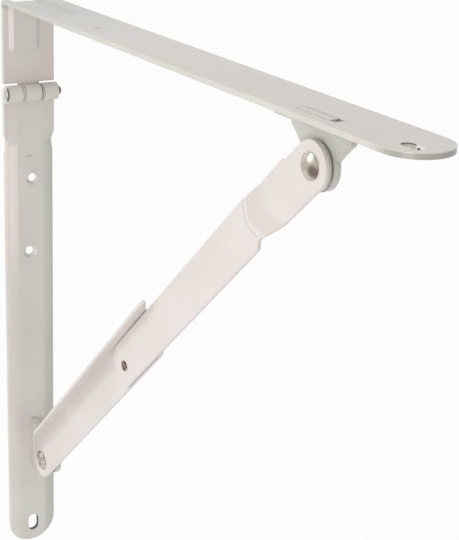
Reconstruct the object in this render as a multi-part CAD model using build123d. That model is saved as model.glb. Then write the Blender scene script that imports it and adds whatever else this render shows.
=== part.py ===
"""Folding shelf bracket: a hinged arm, a wall leg and a two-link folding strut.

Frame: X is out from the wall (wall plane X = 0), Y is along the wall with 0 at
mid-width, Z is up with 0 at the top wall screw. All sizes are in millimetres.
"""
import math
import os

from build123d import *

# ---- strip stock and running gaps -------------------------------------------
sheet = 2.5            # thickness of the pressed steel strip
strip_w = 30.0         # width of the arm and of the wall leg
lug_t = 3.0            # thickness of the two pivot lugs
arm_lug_y = -0.4       # middle of the arm's lug
wall_lug_y = 0.7       # middle of the wall leg's lug
run_gap = 0.05         # side and radial gap of a turning joint
seat_gap = 0.02        # gap of a staked or riveted seat

# ---- wall leg -----------------------------------------------------------------
rim_depth = 2.5        # how far the rolled edges reach behind the flat back
leg_bottom = -234.5    # Z of the rounded bottom end
rim_flat = 5.0         # half-width of the flat between the rolled edges
rim_half = 14.85       # half-width over the rolled edges
rim_foot = 13.1        # half-width where the rolled edges meet the wall
rim_root = 10.6        # half-width of the flat back between them
roll_start = 25.5      # Z where the strip starts to roll
roll_full = 14.5       # Z where the rolled section is complete
wall_screws = [(2.0, -1.0), (0.0, -44.5)]     # Y and Z, staggered so that wood doesn't split
screw_r = 2.4          # radius of the screw holes
sink_r = 4.2           # radius of the countersinks
slot_w = 6.5
leg_slot_len = 10.5
leg_slot_z = -221.6
punch_z = 14.0         # Z of the small punch mark
punch_r = 1.2
punch_deep = 0.5

# ---- arm ------------------------------------------------------------------------
arm_top = 100.5        # Z of the shelf face
arm_tip = 350.0        # X of the rounded tip
rear_bottom = 54.4     # Z where the rear leg narrows to its knuckle
bend_r = 3.0           # outer radius of the arm's right-angle bend
boss_half = 9.2        # half-width of the corner stiffener at the sheet's face
boss_y = -2.7          # middle of the stiffener
boss_corner = 3.5      # radius of its corners
boss_deep = 1.5        # how far the stiffener is pressed in
boss_slope = 2.4       # width of its sloped sides
boss_arm = 58.0        # X where the stiffener ends on the arm
boss_rear = 71.0       # Z where the stiffener ends on the rear leg
arm_hole_x = 96.5
arm_hole_y = -4.6
arm_slot_from_tip = 10.7
arm_slot_y = -4.6
arm_slot_len = 11.0
arm_slot_w = 5.4

# ---- hinge ------------------------------------------------------------------------
hinge_z = 49.0
knuckle_r = 4.85       # outer radius of the rolled knuckles
pin_r = 2.3
mid_knuckle = 12.0     # width of the arm's knuckle
knuckle_gap = 0.4      # side gap between knuckles
arm_bore_gap = 0.25    # radial play of the pin in the arm's knuckle
pin_near = -14.2
pin_far = 17.6

# ---- strut -----------------------------------------------------------------------
arm_pivot = (280.0, 78.0)      # X and Z of the pivot on the arm's lug
wall_pivot = (30.8, -165.8)    # X and Z of the pivot on the wall leg's lug
lower_len = 145.5              # wall pivot to knee pivot
link_t = 1.6
washer_t = 1.3
spacer_t = 1.2                 # between the eye's washer and the arm's lug
knee_spacer_t = 0.9
lower_end = 11.4               # reach of the lower link's web past the wall pivot
lower_low = 9.8                # web below the pivot line at the wall end
lower_low_knee = 9.8           # the same past the knee
lower_past_knee = 37.0         # reach of the web past the knee
web_corner = 4.0               # radius of the web's open corner
fold_r = 1.0                   # outer radius of the flange's fold
flange_past_knee = 50.0        # reach of the flange's free edge past the knee
flange_wall = 12.2             # flange's outer face above the pivot line, wall end
flange_knee = 14.4             # the same at the far end
flange_corner = 20.0           # where the flange turns down to the wall end
flange_h = 7.8                 # flange height over the web
upper_up = 11.8               # upper link above the pivot line at the knee
upper_up_eye = 12.4            # the same next to the eye
upper_neck = 15.6              # where the wide edge steps in, before the arm pivot
upper_low_neck = 7.2           # below the pivot line just past the joggle
upper_low_knee = 9.6
upper_low_eye = 10.4           # below the pivot line at the joggle's first crease
upper_knee_reach = 9.2         # reach of the upper link past the knee pivot
joggle_from_eye = 49.6         # middle of the joggle's first crease to the arm pivot
joggle_run = 13.4
crease_lean = 3.5              # how much further the creases are apart at their low ends
eye_r = 10.7
lug_nose_r = 10.9
wall_nose_r = 8.8
arm_lug_ear = 7.5              # depth of the arm lug's square ears
wall_lug_ear = 3.0
arm_lug_half = 20.0            # half-width of the arm lug's root
arm_lug_shift = 0.0            # root centre relative to the pivot
wall_lug_half = 15.5
shank_r = 4.0
head_r = 5.65
eye_head_h = 2.3
wall_head_h = 0.75
knee_shank_r = 2.4
knee_head_r = 2.75
knee_head_h = 0.9
tail_r = 5.0
tail_h = 1.6
knee_tail_r = 3.6
knee_tail_h = 1.0
spacer_r = 7.0
knee_spacer_r = 6.5
washer_inset = 0.2             # the eye's washer is this much smaller than the eye
wall_washer_r = 8.6
foot_w = 10.5                  # reach of the arm lug's foot toward -Y
tongue_len = 23.5
tongue_w = 5.0
tongue_y = -7.0
tongue_before = 8.5            # reach of the staked tongue before the arm pivot
tongue_slot_len = 27.5

# ---- derived places ---------------------------------------------------------------
back_x = rim_depth
front_x = rim_depth + sheet
hinge_x = back_x + knuckle_r
half_w = strip_w / 2
arm_under = arm_top - sheet
arm_lug_near = arm_lug_y - lug_t / 2
wall_lug_near = wall_lug_y - lug_t / 2
web_far = arm_lug_near - spacer_t - washer_t      # Y of the web face next to the washers
tongue_x0 = arm_pivot[0] - tongue_before
arm_slot_x = arm_tip - arm_slot_from_tip
web_near = web_far - link_t
upper_far = web_near - knee_spacer_t
upper_near = upper_far - link_t
dx = arm_pivot[0] - wall_pivot[0]
dz = arm_pivot[1] - wall_pivot[1]
span = math.hypot(dx, dz)
ux, uz = dx / span, dz / span
knee = (wall_pivot[0] + lower_len * ux, wall_pivot[1] + lower_len * uz)


def strut_plane(y):
    """Sketch plane on the strut: x along the pivot line, y up, z toward -Y."""
    return Plane(origin=(wall_pivot[0], y, wall_pivot[1]), x_dir=(ux, 0, uz), z_dir=(0, -1, 0))


def across(pts):
    """Prism right across the strut, from points (distance along it, -Y)."""
    base = Plane(origin=(wall_pivot[0], 0, wall_pivot[1]), x_dir=(ux, 0, uz), z_dir=(uz, 0, -ux))
    turn = sum(a[0] * b[1] - b[0] * a[1] for a, b in zip(pts, pts[1:] + pts[:1]))
    ordered = pts if turn > 0 else pts[::-1]
    face = make_face(Polyline(*ordered, close=True))
    return extrude(base.offset(-strip_w) * face, amount=2 * strip_w)


def along_y(x, z, r, y0, y1):
    """Cylinder along Y between two Y values."""
    base = Plane(origin=(x, y0, z), x_dir=(1, 0, 0), z_dir=(0, 1, 0))
    return extrude(base * Circle(r), amount=y1 - y0)


def box(x0, x1, y0, y1, z0, z1):
    """Box from its six limits."""
    size = (x1 - x0, y1 - y0, z1 - z0)
    mid = ((x0 + x1) / 2, (y0 + y1) / 2, (z0 + z1) / 2)
    return Pos(*mid) * Box(*size)


def tapered_pad(plane, length, width, depth, slope):
    """Pressed pad: a rectangle on a plane that narrows with depth."""
    angle = math.degrees(math.atan2(slope, depth))
    return extrude(plane * RectangleRounded(length, width, boss_corner), amount=depth, taper=angle)


def dome(x, z, y_base, r, h, toward):
    """Low rounded rivet head standing on y_base, growing toward -Y or +Y."""
    rim = 0.25 * h
    edge = Line((0, 0), (r, 0)) + Line((r, 0), (r, rim))
    cap_r = (r * r + (h - rim) ** 2) / (2 * (h - rim))
    half = math.asin(r / cap_r) / 2
    mid = (cap_r * math.sin(half), h - cap_r + cap_r * math.cos(half))
    cap = ThreePointArc((r, rim), mid, (0, h))
    face = make_face(edge + cap + Line((0, h), (0, 0)))
    head = revolve(Plane.XY * face, axis=Axis.Y)
    turn = Rot(X=180) if toward < 0 else Rot()
    return Pos(x, y_base, z) * turn * head


def rivet(pivot, r, head, head_h, tail_r, tail, y_head, y_tail):
    """Headed shank along Y with a formed tail; one solid."""
    x, z = pivot
    body = along_y(x, z, r, y_head, y_tail)
    body += dome(x, z, y_head, head, head_h, -1)
    body += dome(x, z, y_tail, tail_r, tail, 1)
    return body


def ring_washer(pivot, r_out, r_in, y0, y1):
    """Flat washer along Y."""
    x, z = pivot
    return along_y(x, z, r_out, y0, y1) - along_y(x, z, r_in, y0 - 1, y1 + 1)


def screw_hole(x_front, y, z):
    """Countersunk screw hole through the wall leg, sunk from the front."""
    base = Plane(origin=(x_front, y, z), x_dir=(0, 1, 0), z_dir=(-1, 0, 0))
    hole = extrude(base * Circle(screw_r), amount=sheet + 1)
    cone = extrude(base * Circle(sink_r), amount=sink_r - screw_r, taper=45)
    return hole + cone


# ---- wall leg -----------------------------------------------------------------------
def half_section():
    """Right half of the rolled section in (Y, X), closed on the mid-line."""
    roll_pts = [(rim_flat, front_x), (rim_half - 2.4, front_x - 0.5), (rim_half, front_x - 2.0)]
    roll_pts += [(rim_half - 0.5, back_x - 1.0), (rim_foot, 0)]
    edge = Line((0, front_x), (rim_flat, front_x))
    edge += Spline(*roll_pts, tangents=[(1, 0), (-0.5, -1)])
    edge += Line((rim_foot, 0), (rim_foot - sheet, 0))
    edge += Line((rim_foot - sheet, 0), (rim_root, back_x))
    edge += Line((rim_root, back_x), (0, back_x))
    edge += Line((0, back_x), (0, front_x))
    return make_face(edge)


def section_plane(z):
    """Plane whose x is Y and whose y is X, looking down."""
    return Plane(origin=(0, 0, z), x_dir=(0, 1, 0), z_dir=(0, 0, -1))


def flat_half_section():
    """The same six-sided half section, with nothing rolled."""
    pts = [(0, front_x), (rim_flat, front_x), (half_w, front_x), (half_w, back_x)]
    pts += [(rim_root, back_x), (0, back_x)]
    return make_face(Polyline(*pts, close=True))


bend_z = leg_bottom + rim_half
half = half_section()
right = extrude(section_plane(roll_full) * half, amount=roll_full - bend_z)
roll = loft([section_plane(roll_start) * flat_half_section(), section_plane(roll_full) * half], ruled=True)
right += roll
leg = right + mirror(right, about=Plane.XZ)
turned = Plane(origin=(0, 0, bend_z), x_dir=(0, 1, 0), z_dir=(0, 0, -1)) * half
leg += revolve(turned, axis=Axis((0, 0, bend_z), (-1, 0, 0)), revolution_arc=180)
knuckle_floor = hinge_z - knuckle_r - 1.0
leg += box(back_x, front_x, -half_w, half_w, roll_start, knuckle_floor)
for side in (-1, 1):
    y_in = side * (mid_knuckle / 2 + knuckle_gap)
    y_out = side * half_w
    lo, hi = min(y_in, y_out), max(y_in, y_out)
    curl = along_y(hinge_x, hinge_z, knuckle_r, lo, hi)
    curl += box(back_x, front_x, lo, hi, knuckle_floor - 0.5, hinge_z)
    curl -= box(front_x, front_x + 0.3, lo, hi, hinge_z - knuckle_r - 1, hinge_z - pin_r)
    leg += curl
leg -= along_y(hinge_x, hinge_z, pin_r + run_gap, -half_w - 1, half_w + 1)
for y, z in wall_screws:
    leg -= screw_hole(front_x, y, z)
slot_plane = Plane(origin=(front_x + 1, 0, leg_slot_z), x_dir=(0, 0, 1), z_dir=(-1, 0, 0))
leg -= extrude(slot_plane * SlotOverall(leg_slot_len, slot_w), amount=sheet + 2)
punch = Plane(origin=(front_x, 0, punch_z), x_dir=(0, 1, 0), z_dir=(-1, 0, 0))
leg -= extrude(punch * Circle(punch_r), amount=punch_deep, taper=45)
tenon_half = wall_lug_half - 5.0
tenon = box(back_x, front_x, wall_lug_near, wall_lug_near + lug_t, wall_pivot[1] - tenon_half, wall_pivot[1] + tenon_half)
leg -= box(back_x - 1, front_x + 1, wall_lug_near - seat_gap, wall_lug_near + lug_t + seat_gap,
           wall_pivot[1] - tenon_half - seat_gap, wall_pivot[1] + tenon_half + seat_gap)

# ---- arm ------------------------------------------------------------------------------
tip_x = arm_tip - half_w
arm = box(back_x, tip_x, -half_w, half_w, arm_under, arm_top)
arm += extrude(Plane(origin=(tip_x, 0, arm_under)) * Circle(half_w), amount=sheet)
arm += box(back_x, front_x, -half_w, half_w, rear_bottom, arm_top)
outer_edge = arm.edges().filter_by(Axis.Y).sort_by(lambda e: e.center().X - e.center().Z)[0]
arm = fillet(outer_edge, bend_r)
inner = [e for e in arm.edges().filter_by(Axis.Y)
         if abs(e.center().X - front_x) < 0.01 and abs(e.center().Z - arm_under) < 0.01]
arm = fillet(inner, bend_r - sheet)

arm_mid = (boss_arm - 10.0) / 2
under_plane = Plane(origin=(arm_mid, boss_y, arm_under), x_dir=(1, 0, 0), z_dir=(0, 0, -1))
over_plane = Plane(origin=(arm_mid, boss_y, arm_top), x_dir=(1, 0, 0), z_dir=(0, 0, -1))
rear_top = arm_top + 10.0
rear_mid = (boss_rear + rear_top) / 2
rear_len = rear_top - boss_rear
inside_plane = Plane(origin=(front_x, boss_y, rear_mid), x_dir=(0, 0, 1), z_dir=(1, 0, 0))
behind_plane = Plane(origin=(back_x, boss_y, rear_mid), x_dir=(0, 0, 1), z_dir=(1, 0, 0))
pad = tapered_pad(under_plane, boss_arm + 10.0, 2 * boss_half, boss_deep, boss_slope)
pad &= box(back_x, arm_tip, -half_w, half_w, rear_bottom, arm_under)
pad_rear = tapered_pad(inside_plane, rear_len, 2 * boss_half, boss_deep, boss_slope)
pad_rear &= box(front_x, arm_tip, -half_w, half_w, rear_bottom, arm_under)
arm += pad
arm += pad_rear
arm -= tapered_pad(over_plane, boss_arm + 10.0, 2 * boss_half, boss_deep, boss_slope)
arm -= tapered_pad(behind_plane, rear_len, 2 * boss_half, boss_deep, boss_slope)

neck = mid_knuckle / 2
arm += box(back_x, front_x, -neck, neck, hinge_z, rear_bottom + 0.5)
curl = along_y(hinge_x, hinge_z, knuckle_r, -neck, neck)
curl -= box(front_x, front_x + 0.3, -neck, neck, hinge_z + pin_r, hinge_z + knuckle_r + 1)
arm += curl
arm -= along_y(hinge_x, hinge_z, pin_r + arm_bore_gap, -neck - 1, neck + 1)

hole_at = Plane(origin=(arm_hole_x, arm_hole_y, arm_top), x_dir=(1, 0, 0), z_dir=(0, 0, -1))
arm -= extrude(hole_at * Circle(screw_r), amount=sheet)
arm_slot = Plane(origin=(arm_slot_x, arm_slot_y, arm_under - 1))
arm -= extrude(arm_slot * SlotOverall(arm_slot_len, arm_slot_w), amount=sheet + 2)
slot_y0 = tongue_y - tongue_w / 2 - run_gap
slot_y1 = tongue_y + tongue_w / 2 + run_gap
slot_x0 = tongue_x0 - run_gap
arm -= box(slot_x0, slot_x0 + tongue_slot_len, slot_y0, slot_y1, arm_under - 1, arm_top + 1)

# ---- hinge pin --------------------------------------------------------------------------
pin = along_y(hinge_x, hinge_z, pin_r, pin_near, pin_far)
pin += along_y(hinge_x, hinge_z, pin_r + 0.5, half_w + run_gap, half_w + 1.2)
pin = fillet(pin.edges().filter_by(GeomType.CIRCLE).sort_by(Axis.Y)[-1], 0.9)


# ---- lugs ----------------------------------------------------------------------------------
def lug_plate(reach, nose_r, root_half, shoulder, waist, root_shift=0.0):
    """Pivot lug in its own plane: x along the root, y away from it, nose at y = reach."""
    tangent = math.radians(18)
    nose_x = nose_r * math.cos(tangent)
    nose_y = reach - nose_r * math.sin(tangent)
    left = root_shift - root_half
    right_x = root_shift + root_half
    edge = Line((left, 0), (left, shoulder))
    lx = left + (left * -1 - nose_x) * waist
    rx = right_x - (right_x - nose_x) * waist
    wy = shoulder + (nose_y - shoulder) * 0.42
    edge += ThreePointArc((left, shoulder), (lx, wy), (-nose_x, nose_y))
    edge += ThreePointArc((-nose_x, nose_y), (0, reach + nose_r), (nose_x, nose_y))
    edge += ThreePointArc((nose_x, nose_y), (rx, wy), (right_x, shoulder))
    edge += Line((right_x, shoulder), (right_x, 0))
    edge += Line((right_x, 0), (left, 0))
    return make_face(edge)


arm_lug_plane = Plane(origin=(arm_pivot[0], arm_lug_near, arm_under), x_dir=(1, 0, 0), z_dir=(0, 1, 0))
arm_lug = extrude(arm_lug_plane * lug_plate(arm_under - arm_pivot[1], lug_nose_r, arm_lug_half, arm_lug_ear, 0.45,
                                             arm_lug_shift),
                  amount=lug_t)
foot_x0 = arm_pivot[0] + arm_lug_shift - arm_lug_half
foot_x1 = arm_pivot[0] + arm_lug_shift + arm_lug_half
arm_lug += box(foot_x0, foot_x1, -foot_w, arm_lug_near + lug_t, arm_under - sheet, arm_under)
arm_lug += box(tongue_x0, tongue_x0 + tongue_len, tongue_y - tongue_w / 2, tongue_y + tongue_w / 2,
               arm_under - 1, arm_top)
arm_lug -= along_y(*arm_pivot, shank_r + seat_gap, arm_lug_near - 1, arm_lug_near + lug_t + 1)

wall_lug_plane = Plane(origin=(front_x, wall_lug_near, wall_pivot[1]), x_dir=(0, 0, 1), z_dir=(0, 1, 0))
wall_lug = extrude(wall_lug_plane * lug_plate(wall_pivot[0] - front_x, wall_nose_r, wall_lug_half, wall_lug_ear, 0.55), amount=lug_t)
wall_lug += tenon
wall_lug -= along_y(*wall_pivot, shank_r + seat_gap, wall_lug_near - 1, wall_lug_near + lug_t + 1)

# ---- lower link ---------------------------------------------------------------------------
web_s1 = lower_len + lower_past_knee
low_s1 = lower_len + flange_past_knee
slope_up = (flange_knee - flange_wall) / (low_s1 - flange_corner)
pocket_over = lower_len        # how far the pocket's cut runs past the open edges


def lower_outline(inset, overrun):
    """Web outline; inset moves the flanged edges in, overrun pushes the open ones out."""
    top_far = flange_knee - inset
    corner = flange_wall - inset
    end_x = -lower_end + inset
    top_end = (low_s1 + overrun, top_far + slope_up * overrun)
    edge = Line(top_end, (flange_corner, corner))
    edge += TangentArc((flange_corner, corner), (end_x, 1.0), tangent=(-1, -slope_up))
    if overrun:
        edge += Line((end_x, 1.0), (end_x, -lower_low - overrun))
        edge += Line((end_x, -lower_low - overrun), (low_s1 + overrun, -lower_low - overrun))
        edge += Line((low_s1 + overrun, -lower_low - overrun), top_end)
    else:
        low = -lower_low_knee
        turn = web_corner * (1 - math.sqrt(0.5))
        edge += ThreePointArc((end_x, 1.0), (-0.73 * lower_end, -0.65 * lower_low), (-0.5, -lower_low))
        edge += Line((-0.5, -lower_low), (web_s1 - web_corner, low))
        edge += ThreePointArc((web_s1 - web_corner, low), (web_s1 - turn, low + turn), (web_s1, low + web_corner))
        edge += Line((web_s1, low + web_corner), (web_s1, flange_wall - 2.0))
        edge += Line((web_s1, flange_wall - 2.0), (low_s1, flange_wall))
        edge += Line((low_s1, flange_wall), top_end)
    return make_face(edge)


lower = extrude(strut_plane(web_far) * lower_outline(0, 0), amount=link_t + flange_h)
up_dir = Vector(-uz, 0, ux)
wall_v = Vector(wall_pivot[0], 0, wall_pivot[1])
fold = [e for e in lower.edges() if abs(e.center().Y - web_far) < 0.01 and e.length > 20]
fold = [e for e in fold if (e.center() - wall_v).dot(up_dir) > 4]
lower = fillet(fold, fold_r)
free_y = -web_near + flange_h
taper_rise = flange_h / (flange_corner + lower_end)
taper_top = flange_corner + 2.0 / taper_rise
taper_pts = [(taper_top, free_y + 2.0), (-lower_end, -web_near), (-lower_end - 5, -web_near)]
taper_pts += [(-lower_end - 5, free_y + 10), (taper_top, free_y + 10)]
lower -= across(taper_pts)
end_pts = [(web_s1, -web_near + 0.6), (low_s1 - 0.5, free_y - 2.0), (low_s1 - 0.2, free_y - 1.0)]
end_pts += [(low_s1 - 1.0, free_y - 0.2), (low_s1 - 2.5, free_y + 0.1), (low_s1 - 2.5, free_y + 5)]
end_pts += [(low_s1 + 5, free_y + 5), (low_s1 + 5, -web_far - 1), (web_s1, -web_far - 1)]
lower -= across(end_pts)
lower -= extrude(strut_plane(web_near) * lower_outline(link_t, pocket_over), amount=flange_h + 5)
lower -= along_y(*wall_pivot, shank_r + run_gap, web_near - 1, web_far + 1)
lower -= along_y(*knee, knee_shank_r + seat_gap, web_near - 1, web_far + 1)

# ---- upper link ---------------------------------------------------------------------------
joggle_s = span - joggle_from_eye
crease_1 = (joggle_s + crease_lean, joggle_s - crease_lean)     # at the high edge and at the low edge
crease_2 = (joggle_s + joggle_run - crease_lean, joggle_s + joggle_run + crease_lean)
knee_end = lower_len - upper_knee_reach
rise_u = math.sqrt(upper_up ** 2 - upper_knee_reach ** 2)
diag = upper_up / math.sqrt(2)
step_s = span - upper_neck
low_1 = crease_1[1]
low_2 = crease_2[1]
eye_low = math.radians(-100)
low_pt = (span + eye_r * math.cos(eye_low), eye_r * math.sin(eye_low))
edge = Line((lower_len, upper_up), (step_s, upper_up_eye))
edge += Line((step_s, upper_up_eye), (step_s + 2.5, eye_r + 0.4))
edge += Line((step_s + 2.5, eye_r + 0.4), (span, eye_r))
edge += ThreePointArc((span, eye_r), (span + eye_r, 0), low_pt)
edge += Line(low_pt, (low_2, -upper_low_eye + 0.8))
edge += Line((low_2, -upper_low_eye + 0.8), (low_1 + 4.0, -upper_low_neck))
edge += Line((low_1 + 4.0, -upper_low_neck), (low_1, -upper_low_eye))
edge += Line((low_1, -upper_low_eye), (lower_len, -upper_low_knee))
edge += Line((lower_len, -upper_low_knee), (knee_end + 3.0, -upper_low_knee))
edge += ThreePointArc((knee_end + 3.0, -upper_low_knee), (knee_end + 0.9, -upper_low_knee + 0.9),
                      (knee_end, -upper_low_knee + 3.0))
edge += Line((knee_end, -upper_low_knee + 3.0), (knee_end, rise_u))
edge += ThreePointArc((knee_end, rise_u), (lower_len - diag, diag), (lower_len, upper_up))
upper_plan = make_face(edge)
bend = math.atan2(web_near - upper_near, joggle_run)
shift = link_t * math.tan(bend / 2)
side_pts = [(knee_end - 5, -upper_near), (joggle_s, -upper_near), (joggle_s + joggle_run, -web_near)]
side_pts += [(span + eye_r + 5, -web_near), (span + eye_r + 5, -web_far)]
side_pts += [(joggle_s + joggle_run - shift, -web_far), (joggle_s - shift, -upper_far)]
side_pts += [(knee_end - 5, -upper_far)]
upper = across(side_pts)
upper &= extrude(strut_plane(upper_near - 1) * upper_plan, amount=-(web_far - upper_near + 2))
upper -= along_y(*arm_pivot, shank_r + run_gap, web_near - 1, web_far + 1)
upper -= along_y(*knee, knee_shank_r + run_gap, upper_near - 1, upper_far + 1)

# ---- rivets and washers ---------------------------------------------------------------------
arm_lug_far = arm_lug_near + lug_t
wall_lug_far = wall_lug_near + lug_t
head_y = web_near - run_gap
washer_y = web_far + run_gap
spacer_y = web_far + washer_t
eye_rivet = rivet(arm_pivot, shank_r, head_r + 0.05, eye_head_h, tail_r, tail_h, head_y, arm_lug_far)
wall_rivet = rivet(wall_pivot, shank_r, head_r, wall_head_h, tail_r, tail_h, head_y, wall_lug_far)
knee_rivet = rivet(knee, knee_shank_r, knee_head_r, knee_head_h, knee_tail_r, knee_tail_h,
                   upper_near - run_gap, web_far)
eye_washer = ring_washer(arm_pivot, eye_r - washer_inset, shank_r + seat_gap, washer_y, spacer_y)
eye_spacer = ring_washer(arm_pivot, spacer_r, shank_r + seat_gap, spacer_y, arm_lug_near)
wall_washer = ring_washer(wall_pivot, wall_washer_r, shank_r + seat_gap, washer_y, spacer_y)
wall_spacer = ring_washer(wall_pivot, spacer_r, shank_r + seat_gap, spacer_y, wall_lug_near)
knee_spacer = ring_washer(knee, knee_spacer_r, knee_shank_r + seat_gap, upper_far + run_gap, web_near)

parts = {
    "wall_leg": leg,
    "shelf_arm": arm,
    "hinge_pin": pin,
    "arm_lug": arm_lug,
    "wall_lug": wall_lug,
    "lower_link": lower,
    "upper_link": upper,
    "eye_rivet": eye_rivet,
    "wall_rivet": wall_rivet,
    "knee_rivet": knee_rivet,
    "eye_washer": eye_washer,
    "eye_spacer": eye_spacer,
    "wall_washer": wall_washer,
    "wall_spacer": wall_spacer,
    "knee_spacer": knee_spacer,
}
os.makedirs("parts", exist_ok=True)
for name, shape in parts.items():
    export_step(shape, f"parts/{name}.step")
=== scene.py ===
"""Folding shelf bracket, dressed for the studio: powder-coated strip, links and lugs, plated rivets."""

import math

import bpy
from mathutils import Matrix, Vector


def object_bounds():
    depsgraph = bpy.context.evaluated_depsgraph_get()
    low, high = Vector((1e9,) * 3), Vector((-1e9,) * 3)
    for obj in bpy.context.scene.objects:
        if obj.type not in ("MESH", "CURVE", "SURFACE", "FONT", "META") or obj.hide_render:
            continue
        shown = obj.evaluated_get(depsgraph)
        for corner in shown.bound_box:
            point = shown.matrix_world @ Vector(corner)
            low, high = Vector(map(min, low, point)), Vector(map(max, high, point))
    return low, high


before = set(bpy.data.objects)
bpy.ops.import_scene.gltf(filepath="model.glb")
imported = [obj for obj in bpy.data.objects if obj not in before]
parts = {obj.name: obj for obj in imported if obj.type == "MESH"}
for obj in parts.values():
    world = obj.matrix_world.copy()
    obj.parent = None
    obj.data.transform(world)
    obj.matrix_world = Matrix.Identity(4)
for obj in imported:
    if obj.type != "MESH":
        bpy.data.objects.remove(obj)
cad_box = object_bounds()


# ---- Camera -----------------------------------------------------------------------------
# A long lens on a stand, above the arm and out to its near side. It is tipped
# a little on its side, as a head levelled by hand is.
CAMERA_AT = (0.71969, -0.32787, 0.22966)
CAMERA_TURN = 56.957
CAMERA_RISE = 19.850
CAMERA_TIP = 2.33
LENS_MM = 112.27
SENSOR_MM = 36.0

scene = bpy.context.scene
camera = bpy.data.objects.new("camera", bpy.data.cameras.new("camera"))
camera.data.lens = LENS_MM
camera.data.sensor_width = SENSOR_MM
camera.data.sensor_fit = "HORIZONTAL"
camera.data.clip_start = 0.02
camera.matrix_world = (
    Matrix.Translation(CAMERA_AT)
    @ Matrix.Rotation(math.radians(CAMERA_TURN), 4, "Z")
    @ Matrix.Rotation(math.radians(90.0 - CAMERA_RISE), 4, "X")
    @ Matrix.Rotation(math.radians(CAMERA_TIP), 4, "Z")
)
scene.collection.objects.link(camera)
scene.camera = camera
scene.view_settings.view_transform = "Standard"


# ---- Studio: room, lamps and floor --------------------------------------------------------
# An even white room with a sheet of white paper far under the bracket. Soft
# boxes stand to the left of the strut's side, in front of the leg and over the arm.
ROOM_LEVEL = 0.66       # light from the side that the strut faces
BACK_LEVEL = 0.50       # light from behind the bracket
ROOM_TURN = 0.8         # how far to either side the change between the two goes on
FLOOR_DROP = 0.30
FLOOR_HALF = 12.0
FLOOR_GLOW = 0.95       # the rest of what the lens sees is lit paper, which keeps the shadow


def linear(hex_colour):
    """sRGB hex to the linear RGBA that a shader takes."""
    values = [int(hex_colour[i:i + 2], 16) / 255.0 for i in (1, 3, 5)]
    return tuple(v / 12.92 if v <= 0.04045 else ((v + 0.055) / 1.055) ** 2.4 for v in values) + (1.0,)


def add(tree, kind, links=None, **settings):
    """Adds a node; links maps an input to a value or to another node's output."""
    node = tree.nodes.new(kind)
    for name, value in settings.items():
        setattr(node, name, value)
    for key, source in (links or {}).items():
        if isinstance(source, bpy.types.NodeSocket):
            tree.links.new(source, node.inputs[key])
        else:
            node.inputs[key].default_value = source
    return node


def seen_by_lens(tree):
    """1 for what the lens sees, straight, in a gloss or through glass, and 0 for lighting rays."""
    rays = add(tree, "ShaderNodeLightPath").outputs
    seen = add(tree, "ShaderNodeMath", {0: rays["Is Camera Ray"], 1: rays["Is Glossy Ray"]}, operation="MAXIMUM")
    seen = add(tree, "ShaderNodeMath", {0: seen.outputs[0], 1: rays["Is Transmission Ray"]}, operation="MAXIMUM")
    return seen.outputs[0]


world = bpy.data.worlds.new("white room")
world.use_nodes = True
scene.world = world
room = world.node_tree
room.nodes.clear()
facing = add(room, "ShaderNodeSeparateXYZ", {0: add(room, "ShaderNodeTexCoord").outputs["Generated"]})
level = add(room, "ShaderNodeMapRange",
            {"Value": facing.outputs[1], 1: -ROOM_TURN, 2: ROOM_TURN, 3: ROOM_LEVEL, 4: BACK_LEVEL})
fill = add(room, "ShaderNodeBackground", {"Color": linear("#FFFFFF"), "Strength": level.outputs[0]})
backdrop = add(room, "ShaderNodeBackground", {"Color": linear("#FFFFFF"), "Strength": 1.0})
both = add(room, "ShaderNodeMixShader", {0: seen_by_lens(room), 1: fill.outputs[0], 2: backdrop.outputs[0]})
add(room, "ShaderNodeOutputWorld", {"Surface": both.outputs[0]})


def soft_box(name, at, aim, width, height, watts):
    """Rectangular soft box that faces a point."""
    data = bpy.data.lights.new(name, "AREA")
    data.shape = "RECTANGLE"
    data.size, data.size_y = width, height
    data.energy = watts
    lamp = bpy.data.objects.new(name, data)
    lamp.location = at
    lamp.rotation_euler = (Vector(aim) - Vector(at)).to_track_quat("-Z", "Y").to_euler()
    scene.collection.objects.link(lamp)


soft_box("left soft box", (-0.48, -1.05, 0.55), (0.15, 0.0, -0.03), 0.45, 0.55, 2.85)
soft_box("front soft box", (0.85, -0.85, -0.05), (0.00, 0.0, -0.05), 0.6, 0.6, 3.8)
soft_box("top soft box", (0.45, -0.35, 1.25), (0.30, 0.0, 0.10), 0.8, 0.8, 1.6)

floor_z = cad_box[0][2] - FLOOR_DROP
corners = [(-FLOOR_HALF, -FLOOR_HALF, floor_z), (FLOOR_HALF, -FLOOR_HALF, floor_z),
           (FLOOR_HALF, FLOOR_HALF, floor_z), (-FLOOR_HALF, FLOOR_HALF, floor_z)]
floor_mesh = bpy.data.meshes.new("floor")
floor_mesh.from_pydata(corners, [], [(0, 1, 2, 3)])
floor = bpy.data.objects.new("floor", floor_mesh)
scene.collection.objects.link(floor)

# White backdrop paper: matt, and lit evenly enough to read as white all over.
floor_paper = bpy.data.materials.new("white paper floor")
floor_paper.use_nodes = True
paper = floor_paper.node_tree
paper.nodes.clear()
matt = add(paper, "ShaderNodeBsdfDiffuse", {"Color": linear("#F4F3F1")})
glow = add(paper, "ShaderNodeEmission", {"Color": linear("#FFFFFF"), "Strength": 1.0})
share = add(paper, "ShaderNodeMath", {0: seen_by_lens(paper), 1: FLOOR_GLOW}, operation="MULTIPLY")
mixed = add(paper, "ShaderNodeMixShader", {0: share.outputs[0], 1: matt.outputs[0], 2: glow.outputs[0]})
add(paper, "ShaderNodeOutputMaterial", {"Surface": mixed.outputs[0]})
floor.data.materials.append(floor_paper)


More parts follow.
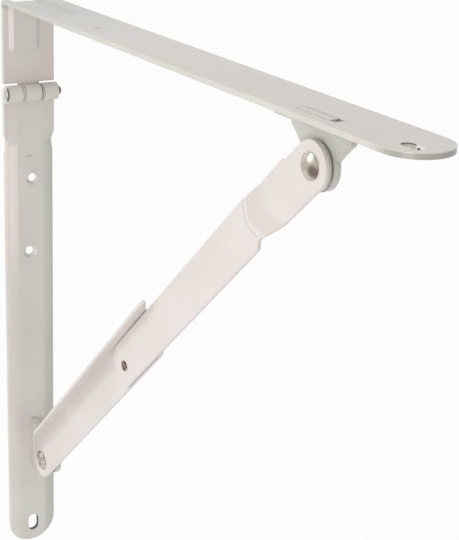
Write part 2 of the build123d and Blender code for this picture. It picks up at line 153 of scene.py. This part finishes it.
# ---- Wall leg -----------------------------------------------------------------------------
# Pressed from mild steel strip, its long edges rolled back to the wall and
# its top curled into two knuckles. Off-white polyester powder coat.
HINGE_AT = (0.00735, 0.0, 0.0490)
SHADED_CURL_AT = (0.00825, -0.0150, 0.0494)      # painted shadow: the dark crescent in the open end of the left knuckle's curl
KNUCKLE_GAP_Y = 0.0050
LEG_SLOT_AT = (0.0, 0.0, -0.2216)
LEG_SLOT_HALF = 0.0020                    # half-length of the slot's straight walls
DASH_AT = (0.0, -0.0008, 0.0122)        # a short dark line beside the punch mark


def fade(tree, *edges):
    """Product of soft changes; each edge is (value, start, end, what it is before, and after)."""
    share = 1.0
    for value, start, end, before, after in edges:
        edge = add(tree, "ShaderNodeMapRange", {"Value": value, 1: start, 2: end, 3: before, 4: after},
                   interpolation_type="SMOOTHSTEP")
        share = add(tree, "ShaderNodeMath", {0: share, 1: edge.outputs[0]}, operation="MULTIPLY").outputs[0]
    return share


def away_from(tree, value, centre):
    """How far a value is from a centre, to either side."""
    past = add(tree, "ShaderNodeMath", {0: value, 1: centre}, operation="SUBTRACT").outputs[0]
    return add(tree, "ShaderNodeMath", {0: past}, operation="ABSOLUTE").outputs[0]


def slot_distance(tree, place, at, half_length, long_axis):
    """Distance in metres from the middle line of a slot, in the plane of the sheet."""
    from_middle = add(tree, "ShaderNodeVectorMath", {0: place, 1: at}, operation="SUBTRACT").outputs[0]
    away = add(tree, "ShaderNodeSeparateXYZ", {0: from_middle}).outputs
    along = away_from(tree, away[long_axis], 0.0)
    past_end = add(tree, "ShaderNodeMath", {0: along, 1: half_length}, operation="SUBTRACT").outputs[0]
    past_end = add(tree, "ShaderNodeMath", {0: past_end, 1: 0.0}, operation="MAXIMUM").outputs[0]
    flat = add(tree, "ShaderNodeCombineXYZ", {0: past_end, 1: away[1]}).outputs[0]
    return add(tree, "ShaderNodeVectorMath", {0: flat}, operation="LENGTH").outputs["Value"]


def powder_coat(name, shade, thin_shade, roughness, relief=None, bare_steel_and_painted_shade=None, painted_light_and_tone=None, edge_mm=0.3):
    """Powder coat: a smooth plastic film over steel, softly glossy, with orange peel.

    relief, painted_light_and_tone and bare_steel_and_painted_shade are called with the tree and the
    object position. relief gives pressed marks as (height, rise in metres), painted_light_and_tone
    gives changes of colour as (share, shade), mostly painted highlights and painted shade, and
    bare_steel_and_painted_shade gives the shares of dark steel, real on the pin's end and painted
    shade in slots and hollows.
    """
    coat = bpy.data.materials.new(name)
    coat.use_nodes = True
    tree = coat.node_tree
    tree.nodes.clear()
    place = add(tree, "ShaderNodeTexCoord").outputs["Object"]
    peel_mm = 1.4      # real peel is about 1 mm; drawn a little coarser so that it shows
    peel = add(tree, "ShaderNodeTexNoise",
               {"Vector": place, "Scale": 1000.0 / peel_mm, "Detail": 1.0, "Roughness": 0.4}).outputs["Fac"]
    drift_mm = 38.0    # the film's thickness drifts over a hand's width
    drift = add(tree, "ShaderNodeTexNoise",
                {"Vector": place, "Scale": 1000.0 / drift_mm, "Detail": 3.0, "Roughness": 0.55}).outputs["Fac"]
    sag_mm = 9.0       # slow waves where the film flowed before it set
    sag = add(tree, "ShaderNodeTexNoise",
              {"Vector": place, "Scale": 1000.0 / sag_mm, "Detail": 0.0, "Roughness": 0.3}).outputs["Fac"]

    thick = fade(tree, (drift, 0.35, 0.65, 0.0, 1.0))
    colour = add(tree, "ShaderNodeMix", {0: thick, 6: linear(thin_shade), 7: linear(shade)},
                 data_type="RGBA").outputs[2]
    for share, other_shade in painted_light_and_tone(tree, place) if painted_light_and_tone else []:
        colour = add(tree, "ShaderNodeMix", {0: share, 6: colour, 7: linear(other_shade)},
                     data_type="RGBA").outputs[2]

    normal = add(tree, "ShaderNodeBevel", {"Radius": edge_mm / 1000.0}, samples=6).outputs[0]
    sag_rise, peel_rise = 0.00010, 0.000003
    marks = [(sag, sag_rise), (peel, peel_rise)] + (relief(tree, place) if relief else [])
    for height, rise in marks:
        normal = add(tree, "ShaderNodeBump",
                     {"Height": height, "Strength": 1.0, "Distance": rise, "Normal": normal}).outputs[0]

    gloss = fade(tree, (drift, 0.3, 0.7, roughness - 0.04, roughness + 0.04))
    surface = add(tree, "ShaderNodeBsdfPrincipled",
                  {"Base Color": colour, "IOR": 1.5, "Normal": normal, "Roughness": gloss,
                   "Coat Weight": 0.3, "Coat Roughness": 0.15}).outputs[0]
    for share in bare_steel_and_painted_shade(tree, place) if bare_steel_and_painted_shade else []:
        # Uncoated mild steel: dark grey and matt, with a thin skin of oxide. Real on the pin's peened end; in slots
        # and hollows it is painted shade.
        steel = add(tree, "ShaderNodeBsdfPrincipled",
                    {"Base Color": linear("#5B5A55"), "Metallic": 0.6, "Roughness": 0.45}).outputs[0]
        surface = add(tree, "ShaderNodeMixShader", {0: share, 1: surface, 2: steel}).outputs[0]
    add(tree, "ShaderNodeOutputMaterial", {"Surface": surface})
    return coat


def dress(node, material):
    """Gives a CAD piece its finish in place of the plain one it came with."""
    slots = parts[node].data.materials
    slots.clear()
    slots.append(material)


def leg_painted_shade(tree, place):
    """Painted shade in dark steel: on the walls of the low slot, and a crescent of painted shadow in the end of the
    left knuckle's curl.
    """
    from_slot = slot_distance(tree, place, LEG_SLOT_AT, LEG_SLOT_HALF, 2)
    from_shaded_curl = add(tree, "ShaderNodeVectorMath", {0: place, 1: SHADED_CURL_AT}, operation="SUBTRACT").outputs[0]
    across, inward, up = add(tree, "ShaderNodeSeparateXYZ", {0: from_shaded_curl}).outputs
    flat = add(tree, "ShaderNodeCombineXYZ", {0: across, 1: up}).outputs[0]
    reach = add(tree, "ShaderNodeVectorMath", {0: flat}, operation="LENGTH").outputs["Value"]
    inside = (reach, 0.0016, 0.0021, 0.0, 1.0)
    outside = (reach, 0.0039, 0.0042, 1.0, 0.0)
    front_half = (across, -0.0006, 0.0012, 0.0, 1.0)
    at_end = (inward, 0.00005, 0.0003, 1.0, 0.0)
    return [fade(tree, (from_slot, 0.00325, 0.00345, 1.0, 0.0)), fade(tree, inside, outside, front_half, at_end)]


def painted_gap_shade(tree, place):
    """Painted shade along the two gaps between the hinge's knuckles, more in the right one."""
    out, along, up = add(tree, "ShaderNodeSeparateXYZ", {0: place}).outputs
    from_gap = away_from(tree, away_from(tree, along, 0.0), KNUCKLE_GAP_Y)
    beside = (from_gap, 0.00025, 0.00055, 1.0, 0.0)
    more_right = (along, -0.0010, 0.0010, 0.45, 0.9)
    at_knuckle = (away_from(tree, up, HINGE_AT[2]), 0.0046, 0.0050, 1.0, 0.0)
    in_front = (out, 0.0052, 0.0070, 0.0, 1.0)
    return [(fade(tree, beside, more_right, at_knuckle, in_front), "#57544C")]


def leg_painted_light_and_tone(tree, place):
    """A painted highlight along the left rolled edge, painted shade along the right, a short dark line by the punch
    mark, and the knuckle gaps' painted shade.
    """
    _, along, up = add(tree, "ShaderNodeSeparateXYZ", {0: place}).outputs
    left_inside = (along, -0.0084, -0.0066, 1.0, 0.0)
    left_outside = (along, -0.0132, -0.0118, 0.3, 1.0)
    left_foot = (up, -0.0700, -0.0240, 0.20, 1.0)
    left_top = (up, 0.0185, 0.0198, 1.0, 0.25)
    right_inside = (along, 0.0072, 0.0092, 0.0, 1.0)
    right_length = (up, -0.2300, 0.0200, 0.55, 0.40)
    right_top = (up, 0.0200, 0.0230, 1.0, 0.2)
    line_width = (away_from(tree, up, DASH_AT[2]), 0.00015, 0.00035, 0.8, 0.0)
    line_ends = (away_from(tree, along, DASH_AT[1]), 0.0018, 0.0022, 1.0, 0.0)
    # Painted highlight down the left rolled edge, painted shade down the right one.
    return [(fade(tree, left_inside, left_outside, left_foot, left_top), "#EFE7DF"),
            (fade(tree, right_inside, right_length, right_top), "#BFC1B9"),
            (fade(tree, line_width, line_ends), "#8A877F")] + painted_gap_shade(tree, place)


# The solid has a fault: a skin about 0.01 mm thick over the right edge of the
# top countersink. An edge rounding wider than this one shows it as a dark line.
dress("wall_leg", powder_coat("powder coat on the leg", "#DFDAD4", "#D8D3CC", 0.36,
                              bare_steel_and_painted_shade=leg_painted_shade, painted_light_and_tone=leg_painted_light_and_tone, edge_mm=0.02))


# ---- Arm ----------------------------------------------------------------------------------
# The same strip, flat, bent down at the wall end. The lug's tongue is staked
# over in its slot, which leaves a low rounded ridge under the coat.
TONGUE_AT = (0.2850, -0.0076, 0.1005)
TONGUE_HALF = 0.0100
RIDGE_RISE = 0.0012
SCREW_HOLE_AT = (0.0965, -0.0046, 0.0992)
TIP_SLOT_AT = (0.3393, -0.0046, 0.1005)
TIP_SLOT_HALF = 0.0028                    # half-length of the slot's straight walls
SLOT_SHADOW_AT = (0.3394, -0.0018, 0.0986)       # painted shadow: a dark spot low on the slot's far wall


def arm_relief(tree, place):
    """The staked tongue as a low ridge on the arm's top."""
    reach = slot_distance(tree, place, TONGUE_AT, TONGUE_HALF, 0)
    return [(fade(tree, (reach, 0.0012, 0.0034, 1.0, 0.0)), RIDGE_RISE)]


def arm_painted_shade(tree, place):
    """Painted shade in dark steel: a line along the slot's top edge at its end towards the wall, and a painted shadow
    on the slot's far wall.
    """
    along, _, up = add(tree, "ShaderNodeSeparateXYZ", {0: place}).outputs
    from_slot_shadow = add(tree, "ShaderNodeVectorMath", {0: place, 1: SLOT_SHADOW_AT}, operation="DISTANCE").outputs["Value"]
    in_slot = (slot_distance(tree, place, TIP_SLOT_AT, TIP_SLOT_HALF, 0), 0.00278, 0.00290, 1.0, 0.0)
    at_top = (up, 0.09985, 0.10015, 0.0, 1.0)
    wall_end = (along, 0.3370, 0.3385, 0.85, 0.0)
    return [fade(tree, in_slot, at_top, wall_end), fade(tree, (from_slot_shadow, 0.0008, 0.0013, 1.0, 0.0))]


def arm_painted_light_and_tone(tree, place):
    """Painted shade on the sheared round end and on the slot's walls, painted highlights in the screw hole and at the
    slot's tip end, the knuckle gaps' painted shade, and greyer towards the bend.
    """
    along, _, up = add(tree, "ShaderNodeSeparateXYZ", {0: place}).outputs
    from_hole = add(tree, "ShaderNodeVectorMath", {0: place, 1: SCREW_HOLE_AT}, operation="DISTANCE").outputs["Value"]
    round_end = [(along, 0.325, 0.342, 0.0, 1.0), (up, 0.1000, 0.1004, 0.85, 0.0)]
    in_hole = (from_hole, 0.0026, 0.0030, 1.0, 0.0)
    in_slot = (slot_distance(tree, place, TIP_SLOT_AT, TIP_SLOT_HALF, 0), 0.00275, 0.00285, 1.0, 0.0)
    tip_end = (along, 0.3375, 0.3385, 0.0, 1.0)
    by_bend = [(along, 0.010, 0.150, 0.8, 0.0), (up, 0.0950, 0.0962, 0.0, 1.0)]
    # Painted shade on the round end and slot walls; painted highlights in the hole and at the slot's tip end.
    walls = [(fade(tree, *round_end), "#9C9C94"), (fade(tree, in_hole), "#FAF6F1"),
             (fade(tree, in_slot), "#CFCBC4"), (fade(tree, in_slot, tip_end), "#FAF6F1")]
    return walls + painted_gap_shade(tree, place) + [(fade(tree, *by_bend), "#C4C4BD")]


dress("shelf_arm", powder_coat("powder coat on the arm", "#DFDAD3", "#D8D2CA", 0.36, arm_relief, arm_painted_shade, arm_painted_light_and_tone))


# ---- Lugs and washers -----------------------------------------------------------------------
# Blanked from 3 mm plate and riveted up before coating, and drawn greyer than the arm.
# On the arm's lug and the washers the grey is painted shade, that of the eye's stack under the arm.
def lug_tongue_unshaded(tree, place):
    """The tongue, which shows in the arm's top, drawn near the arm's colour, without the lug's painted shade."""
    up = add(tree, "ShaderNodeSeparateXYZ", {0: place}).outputs[2]
    return [(fade(tree, (up, 0.0985, 0.0990, 0.0, 1.0)), "#DDD7CF")]


dress("arm_lug", powder_coat("powder coat with painted shade on the arm's lug", "#D3D0CA", "#C6C3BC", 0.40, arm_relief,
                             painted_light_and_tone=lug_tongue_unshaded))
dress("wall_lug", powder_coat("grey powder coat on the wall lug", "#D5D2CC", "#CAC7C0", 0.40))
washer_coat = powder_coat("powder coat with painted shade on washers", "#CBCAC5", "#BFBEB8", 0.38)
for node in ("eye_washer", "wall_washer"):
    dress(node, washer_coat)


# ---- Links ----------------------------------------------------------------------------------
# The folding strut: a flanged lower link and a flat upper link, joggled
# near its eye so that the two lie side by side.
WALL_PIVOT = (0.0308, 0.0, -0.1658)
STRUT_DIRECTION = (0.71488, 0.0, 0.69925)
STRUT_ACROSS = (-0.69925, 0.0, 0.71488)
CREASE_ALONG = 0.2975                     # from the wall pivot to the joggle's first crease
CREASE_MIDDLE = 0.003                     # where across the link the crease lies furthest back
CREASE_BOW = 45.0                         # metres along for each square metre off that middle
BEAD_RISE = 0.00045


def past_crease(tree, place):
    """Distance in metres past the joggle's bowed first crease, along the strut."""
    from_pivot = add(tree, "ShaderNodeVectorMath", {0: place, 1: WALL_PIVOT}, operation="SUBTRACT").outputs[0]
    along = add(tree, "ShaderNodeVectorMath", {0: from_pivot, 1: STRUT_DIRECTION}, operation="DOT_PRODUCT")
    across = add(tree, "ShaderNodeVectorMath", {0: from_pivot, 1: STRUT_ACROSS}, operation="DOT_PRODUCT")
    off_middle = away_from(tree, across.outputs["Value"], CREASE_MIDDLE)
    squared = add(tree, "ShaderNodeMath", {0: off_middle, 1: 2.0}, operation="POWER").outputs[0]
    bow = add(tree, "ShaderNodeMath", {0: squared, 1: CREASE_BOW}, operation="MULTIPLY").outputs[0]
    past = add(tree, "ShaderNodeMath", {0: along.outputs["Value"], 1: CREASE_ALONG}, operation="SUBTRACT").outputs[0]
    return add(tree, "ShaderNodeMath", {0: past, 1: bow}, operation="SUBTRACT").outputs[0]


def joggle_relief(tree, place):
    """The curved bead that the joggle's tool left along its first crease."""
    from_crease = away_from(tree, past_crease(tree, place), 0.0)
    return [(fade(tree, (from_crease, 0.0004, 0.0022, 1.0, 0.0)), BEAD_RISE)]


def joggle_painted_shade(tree, place):
    """Painted shade: a touch greyer over the joggle's ramp, which turns away from the light."""
    past = past_crease(tree, place)
    return [(fade(tree, (past, 0.0008, 0.0020, 0.0, 1.0), (past, 0.0090, 0.0170, 0.7, 0.0)), "#D8CFC7")]


dress("lower_link", powder_coat("powder coat on the lower link", "#E6DEDA", "#E0D8D3", 0.33))
dress("upper_link", powder_coat("powder coat on the upper link", "#E6DEDA", "#E1D9D4", 0.33, joggle_relief,
                                painted_light_and_tone=joggle_painted_shade))


# ---- Rivets, spacers and hinge pin ------------------------------------------------------------
# Turned from mild steel. The heads are formed by an orbital tool and plated;
# the spacers are oiled, and the pin is coated with the leg and peened at its right end.
def plated_steel(name, shade, smut_shade, smut_mm, roughness, painted_dark_reflection_at=None):
    """Nickel over turned steel: bright metal with fine tool marks and thin brown smuts.

    painted_dark_reflection_at is where a painted dark reflection lies beside the middle of a head; the smuts around
    it are drawn fainter, so the rest of the head reads lighter, a painted highlight.
    """
    metal = bpy.data.materials.new(name)
    metal.use_nodes = True
    tree = metal.node_tree
    tree.nodes.clear()
    place = add(tree, "ShaderNodeTexCoord").outputs["Object"]
    grit_mm = 0.7      # forming marks are finer; drawn coarser so that they show
    grit = add(tree, "ShaderNodeTexNoise",
               {"Vector": place, "Scale": 1000.0 / grit_mm, "Detail": 2.0}).outputs["Fac"]
    smut = add(tree, "ShaderNodeTexNoise",
               {"Vector": place, "Scale": 1000.0 / smut_mm, "Detail": 2.0}).outputs["Fac"]
    smutted = fade(tree, (smut, 0.42, 0.62, 0.0, 1.0))
    if painted_dark_reflection_at:
        flat = add(tree, "ShaderNodeVectorMath", {0: place, 1: (1.0, 0.0, 1.0)}, operation="MULTIPLY").outputs[0]
        reach = add(tree, "ShaderNodeVectorMath", {0: flat, 1: painted_dark_reflection_at}, operation="DISTANCE").outputs["Value"]
        light_smut = add(tree, "ShaderNodeMath", {0: smutted, 1: 0.3}, operation="MULTIPLY").outputs[0]
        painted_dark_reflection = fade(tree, (reach, 0.0012, 0.0044, 0.9, 0.0))
        smutted = add(tree, "ShaderNodeMath", {0: light_smut, 1: painted_dark_reflection}, operation="MAXIMUM").outputs[0]
    colour = add(tree, "ShaderNodeMix", {0: smutted, 6: linear(shade), 7: linear(smut_shade)},
                 data_type="RGBA").outputs[2]
    mark_rise = 0.00002
    marked = add(tree, "ShaderNodeBump", {"Height": grit, "Strength": 1.0, "Distance": mark_rise}).outputs[0]
    gloss = fade(tree, (grit, 0.3, 0.7, roughness - 0.05, roughness + 0.05))
    skin = add(tree, "ShaderNodeBsdfPrincipled",
               {"Base Color": colour, "Metallic": 1.0, "Roughness": gloss, "Normal": marked}).outputs[0]
    add(tree, "ShaderNodeOutputMaterial", {"Surface": skin})
    return metal


# The eye rivet's head gets a painted dark reflection beside its middle.
dress("eye_rivet", plated_steel("nickel plated steel", "#D0C7BC", "#6E6156", 4.4, 0.21, (0.2840, 0.0, 0.0768)))
dress("wall_rivet", plated_steel("clean nickel plated steel", "#D2CABD", "#A2968A", 3.0, 0.20))
dress("knee_rivet", plated_steel("smutted rivet steel", "#A8927C", "#4E3B2B", 1.3, 0.32))


def pin_bare(tree, place):
    """The pin's peened end, past the right knuckle, knocked through the coat to the steel."""
    along = add(tree, "ShaderNodeSeparateXYZ", {0: place}).outputs[1]
    return [fade(tree, (along, 0.0140, 0.0150, 0.0, 1.0))]


dress("hinge_pin", powder_coat("powder coat on the pin", "#DFDAD4", "#D8D3CC", 0.36, bare_steel_and_painted_shade=pin_bare))

dark_steel = plated_steel("oiled dark steel", "#5A5048", "#33291F", 3.0, 0.45)
for node in ("eye_spacer", "wall_spacer", "knee_spacer"):
    dress(node, dark_steel)
